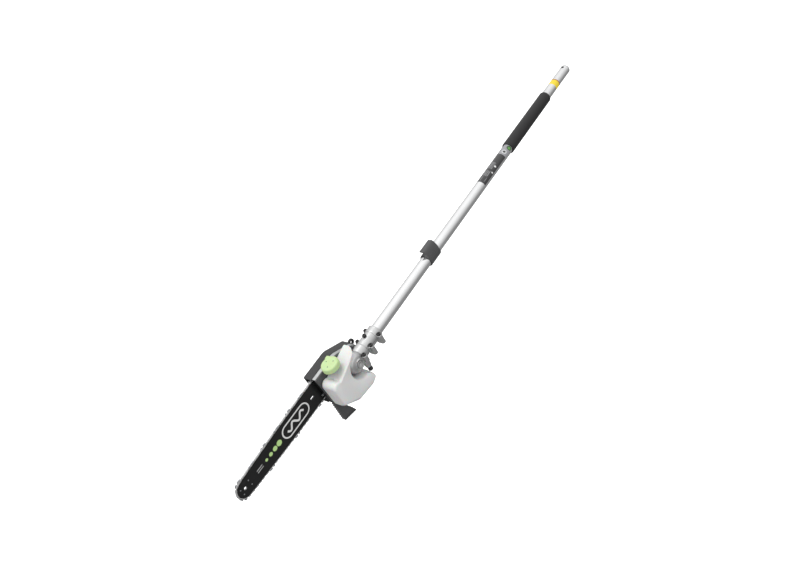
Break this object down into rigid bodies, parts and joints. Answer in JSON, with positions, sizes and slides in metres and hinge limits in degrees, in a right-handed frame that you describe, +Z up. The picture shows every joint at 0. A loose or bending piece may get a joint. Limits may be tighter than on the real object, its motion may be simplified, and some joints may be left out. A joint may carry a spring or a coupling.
{
  "type": "pole saw",
  "caption": "Pole saw head on a fixed aluminium pole: guide bar with saw chain, bevel gear case, side oil tank with screw cap, sprocket cover, branch hook, foam grip and pole clip.",
  "frame": {"origin": "centre of the pole tube's coupler end", "axes": "+X along the pole towards the bar's nose, +Y the oil tank's side, +Z up, away from the branch hook"},
  "size_m": [1.3502, 0.084, 0.149],
  "materials": {
    "tube": "satin anodised",
    "casting": "blasted casting",
    "steel": "ground",
    "chain_steel": "oiled",
    "black_steel": "black oxide",
    "black_plastic": "fine grain",
    "grey_plastic": "fine grain",
    "foam": "closed cell foam",
    "tank_plastic": "milky, translucent",
    "lime_plastic": "moulded",
    "bar_paint": "satin paint",
    "rubber": "matt",
    "brass": "machined brass"
  },
  "bodies": {
    "frame": {"bar_stud": "steel", "branch_hook": "grey_plastic", "case_screw_1": "black_steel", "case_screw_2": "black_steel", "case_screw_3": "black_steel", "case_screw_4": "black_steel", "case_screw_5": "black_steel", "chassis_plate": "casting", "chassis_screw_1": "steel", "chassis_screw_2": "steel", "chassis_screw_3": "steel", "chassis_screw_4": "steel", "foam_grip": "foam", "gear_case_lower": "casting", "gear_case_upper": "casting", "hook_screw_1": "steel", "hook_screw_2": "steel", "input_bearing": "steel", "locating_screw": "black_steel", "oil_pickup": "rubber", "oil_pump": "brass", "oil_tank": "tank_plastic", "output_bearing_chassis": "steel", "output_bearing_end": "steel", "pole_tube": "tube", "shaft_bushing_1": "rubber", "shaft_bushing_2": "rubber", "shaft_bushing_3": "rubber", "shaft_bushing_4": "rubber"},
    "input_shaft": {"drive_shaft": "steel", "bevel_pinion": "steel"},
    "output_shaft": {"output_shaft": "steel", "bevel_gear": "steel", "drive_sprocket": "steel", "sprocket_clip": "steel"},
    "guide_bar": {"guide_bar": "bar_paint", "saw_chain": "chain_steel", "nose_hub": "steel", "tension_block": "steel"},
    "nose_sprocket": {"nose_sprocket": "steel"},
    "tension_screw": {"tension_screw": "steel"},
    "sprocket_cover": {"sprocket_cover": "black_plastic"},
    "cover_nut": {"cover_nut": "steel"},
    "cap_seal": {"cap_seal": "rubber"},
    "oil_cap": {"oil_cap": "lime_plastic"},
    "pole_clip": {"pole_clip": "grey_plastic"},
    "locking_knob": {"locking_knob": "black_plastic"},
    "pump_plunger": {"pump_plunger": "steel"}
  },
  "joints": [
    {"name": "shaft_spin", "type": "hinge", "parent": "frame", "child": "input_shaft", "pos_m": [0, 0, 0], "axis": [1, 0, 0], "continuous": true},
    {"name": "output_spin", "type": "hinge", "parent": "frame", "child": "output_shaft", "pos_m": [1.025, 0, 0], "axis": [0, 1, 0], "continuous": true},
    {"name": "bar_slide", "type": "slide", "parent": "frame", "child": "guide_bar", "axis": [1, 0, 0], "range_m": [0, 0.002]},
    {"name": "nose_spin", "type": "hinge", "parent": "guide_bar", "child": "nose_sprocket", "pos_m": [1.327, -0.033, 0.002], "axis": [0, 1, 0], "continuous": true},
    {"name": "tension_turn", "type": "hinge", "parent": "frame", "child": "tension_screw", "pos_m": [1.08, -0.0277, -0.0125], "axis": [1, 0, 0], "range_deg": [-0.6, 1029.2]},
    {"name": "cover_lift", "type": "slide", "parent": "frame", "child": "sprocket_cover", "axis": [0, -1, 0], "range_m": [0, 0.06]},
    {"name": "nut_turn", "type": "hinge", "parent": "sprocket_cover", "child": "cover_nut", "pos_m": [1.062, -0.055, 0.002], "axis": [0, -1, 0], "range_deg": [0, 1800]},
    {"name": "cap_lift", "type": "slide", "parent": "frame", "child": "cap_seal", "axis": [0, 0, 1], "range_m": [0, 0.03]},
    {"name": "cap_turn", "type": "hinge", "parent": "cap_seal", "child": "oil_cap", "pos_m": [1.068, 0.001, 0.044], "axis": [0, 0, 1], "range_deg": [0, 540]},
    {"name": "clip_slide", "type": "slide", "parent": "frame", "child": "pole_clip", "axis": [1, 0, 0], "range_m": [-0.15, 0.15]},
    {"name": "knob_turn", "type": "hinge", "parent": "frame", "child": "locking_knob", "pos_m": [1.004, 0.006, -0.043], "axis": [0, 0, -1], "range_deg": [0, 1080]},
    {"name": "pump_spin", "type": "hinge", "parent": "frame", "child": "pump_plunger", "pos_m": [1.055, -0.0203, -0.025], "axis": [0, 0, 1], "continuous": true}
  ],
  "couplings": [
    {"joint": "output_spin", "follows": "shaft_spin", "ratio": -0.75},
    {"joint": "nose_spin", "follows": "shaft_spin", "ratio": -0.5},
    {"joint": "pump_spin", "follows": "shaft_spin", "ratio": 0.0417},
    {"joint": "tension_turn", "follows": "bar_slide", "rad_per_m": 8976}
  ]
}
